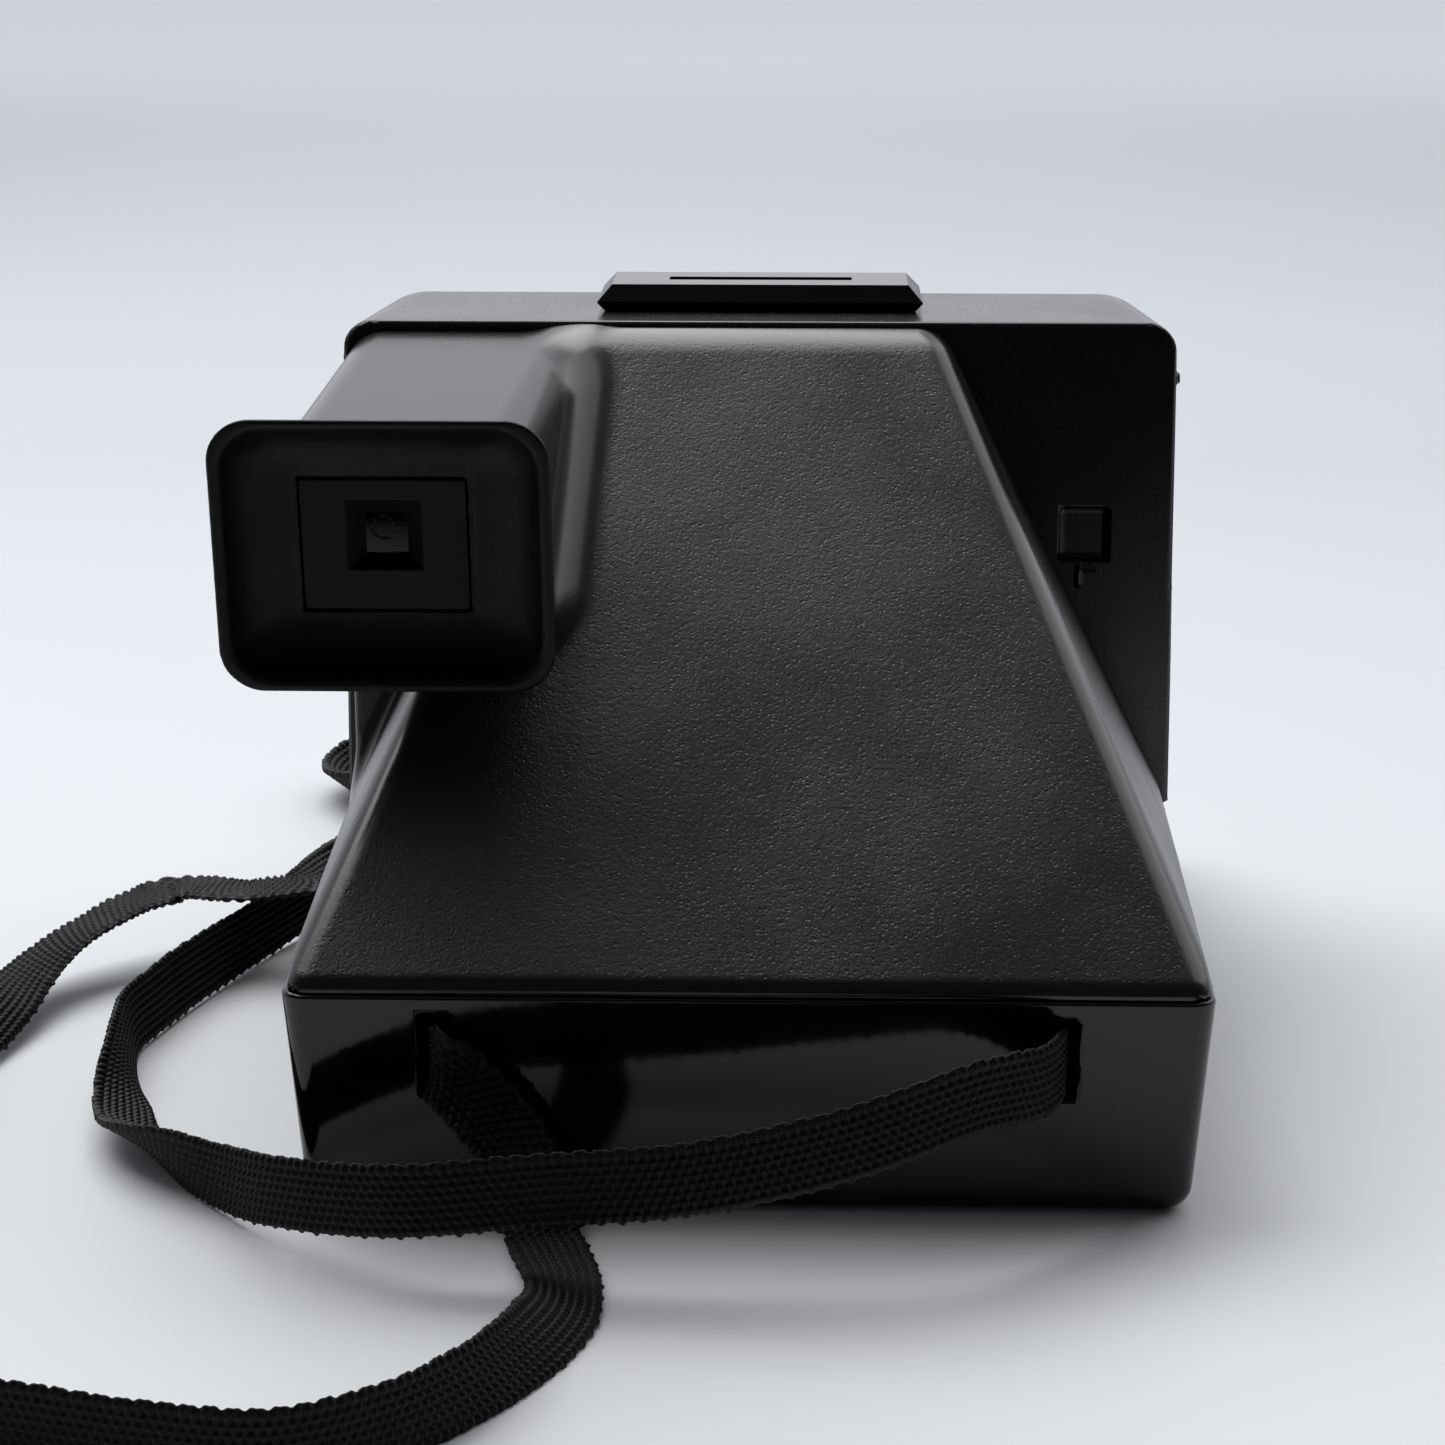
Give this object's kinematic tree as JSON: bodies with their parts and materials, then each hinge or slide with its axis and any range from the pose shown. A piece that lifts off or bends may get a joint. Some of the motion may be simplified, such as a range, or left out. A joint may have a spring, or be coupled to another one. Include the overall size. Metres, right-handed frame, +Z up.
{
  "type": "instant camera",
  "caption": "Box-form instant camera with a sloped mirror housing, hooded finder and eyecup, flash-bar socket, film door with rollers, and a woven neck strap lying beside it.",
  "frame": {"origin": "middle of the base's underside", "axes": "+X right seen from behind, +Y towards the lens, +Z up"},
  "size_m": [0.2454, 0.2587, 0.1021],
  "materials": {
    "moulded_body": "gloss black moulding",
    "grained_cover": "fine grained satin",
    "panel": "satin",
    "dark_inner": "matt black",
    "eyecup": "soft matt",
    "lens_glass": "coated, clear",
    "steel": "bright",
    "dark_metal": "black oxide",
    "copper": "enamelled wire",
    "contact": "sprung contact",
    "button_red": "gloss",
    "board": "solder mask",
    "sensor": "smoked",
    "cell": "matt",
    "nylon": "natural nylon",
    "mirror": "front silvered",
    "webbing": "woven",
    "seal": "felt"
  },
  "bodies": {
    "camera_body": {"base_shell": "moulded_body", "slope_cover": "grained_cover", "front_housing": "moulded_body", "front_panel": "panel", "flash_socket": "moulded_body", "flash_contacts": "contact", "eyecup": "eyecup", "eyepiece_plate": "panel", "eyepiece_lens": "lens_glass", "finder_tunnel": "dark_inner", "finder_lens": "lens_glass", "lens_ring": "panel", "lens_barrel": "dark_inner", "front_element": "lens_glass", "rear_element": "lens_glass", "shutter_plate": "dark_metal", "solenoid": "copper", "photocell": "cell", "photocell_window": "sensor", "button_spring": "steel", "circuit_board": "board", "film_chamber": "dark_inner", "light_seal": "seal", "battery_contacts": "contact", "mirror_carrier": "dark_inner", "reflex_mirror": "mirror", "gear_plate": "dark_metal", "gear_studs": "steel", "motor": "steel", "hinge_pins": "steel", "case_screws": "dark_metal", "strap_pins": "steel", "strap": "webbing"},
    "door": {"film_door": "moulded_body", "roller_frame": "dark_metal"},
    "upper_roller": {"upper_roller": "steel", "upper_gear": "nylon"},
    "lower_roller": {"lower_roller": "steel", "lower_gear": "nylon"},
    "idler": {"idler_gear": "nylon"},
    "reduction": {"reduction_gear": "nylon"},
    "pinion": {"motor_pinion": "contact"},
    "button": {"shutter_button": "button_red"},
    "trim": {"trim_wheel": "panel"},
    "blade_a": {"shutter_blade_a": "dark_metal"},
    "blade_b": {"shutter_blade_b": "dark_metal"},
    "beam": {"walking_beam": "nylon"},
    "plunger": {"solenoid_plunger": "steel"},
    "pick": {"film_pick": "steel"},
    "latch": {"door_latch": "moulded_body"}
  },
  "joints": [
    {"name": "film_door_hinge", "type": "hinge", "parent": "camera_body", "child": "door", "pos_m": [0, 0.0682, 0.0032], "axis": [-1, 0, 0], "range_deg": [0, 85]},
    {"name": "upper_roller_spin", "type": "hinge", "parent": "door", "child": "upper_roller", "pos_m": [0, 0.062, 0.0208], "axis": [1, 0, 0], "continuous": true},
    {"name": "lower_roller_spin", "type": "hinge", "parent": "door", "child": "lower_roller", "pos_m": [0, 0.062, 0.0125], "axis": [1, 0, 0], "continuous": true},
    {"name": "idler_spin", "type": "hinge", "parent": "camera_body", "child": "idler", "pos_m": [0, 0.05033, 0.0208], "axis": [1, 0, 0], "continuous": true},
    {"name": "reduction_spin", "type": "hinge", "parent": "camera_body", "child": "reduction", "pos_m": [0, 0.04341, 0.03067], "axis": [1, 0, 0], "continuous": true},
    {"name": "motor_spin", "type": "hinge", "parent": "camera_body", "child": "pinion", "pos_m": [0, 0.03226, 0.03366], "axis": [1, 0, 0], "continuous": true},
    {"name": "shutter_button_press", "type": "slide", "parent": "camera_body", "child": "button", "axis": [0, -0.9851, -0.1719], "range_m": [0, 0.002], "stiffness_N_per_m": 600, "springref_m": -0.001, "deforming": ["button_spring"]},
    {"name": "trim_wheel_turn", "type": "hinge", "parent": "camera_body", "child": "trim", "pos_m": [0.03, 0.04892, 0.0748], "axis": [0, 0.9851, 0.1719], "range_deg": [-35, 35]},
    {"name": "beam_rock", "type": "hinge", "parent": "camera_body", "child": "beam", "pos_m": [0.026, 0.02776, 0.05994], "axis": [0, 0.9851, 0.1719], "range_deg": [0, 30]},
    {"name": "blade_a_slide", "type": "slide", "parent": "camera_body", "child": "blade_a", "axis": [1, 0, 0], "range_m": [0, 0.0073]},
    {"name": "blade_b_slide", "type": "slide", "parent": "camera_body", "child": "blade_b", "axis": [-1, 0, 0], "range_m": [0, 0.0073]},
    {"name": "plunger_slide", "type": "slide", "parent": "camera_body", "child": "plunger", "axis": [-1, 0, 0], "range_m": [0, 0.00725], "stiffness_N_per_m": 15, "springref_m": -0.002},
    {"name": "film_pick_stroke", "type": "slide", "parent": "camera_body", "child": "pick", "axis": [0, 1, 0], "range_m": [0, 0.012], "stiffness_N_per_m": 40, "springref_m": -0.002},
    {"name": "door_latch_slide", "type": "slide", "parent": "camera_body", "child": "latch", "axis": [0, 0, 1], "range_m": [0, 0.004], "stiffness_N_per_m": 200, "springref_m": -0.001}
  ],
  "couplings": [
    {"joint": "lower_roller_spin", "follows": "upper_roller_spin", "ratio": -1},
    {"joint": "idler_spin", "follows": "upper_roller_spin", "ratio": -0.55},
    {"joint": "reduction_spin", "follows": "upper_roller_spin", "ratio": 0.91667},
    {"joint": "motor_spin", "follows": "upper_roller_spin", "ratio": -3.3},
    {"joint": "blade_a_slide", "follows": "plunger_slide", "ratio": 1},
    {"joint": "blade_b_slide", "follows": "plunger_slide", "ratio": 1},
    {"joint": "beam_rock", "follows": "plunger_slide", "rad_per_m": 72.22}
  ]
}
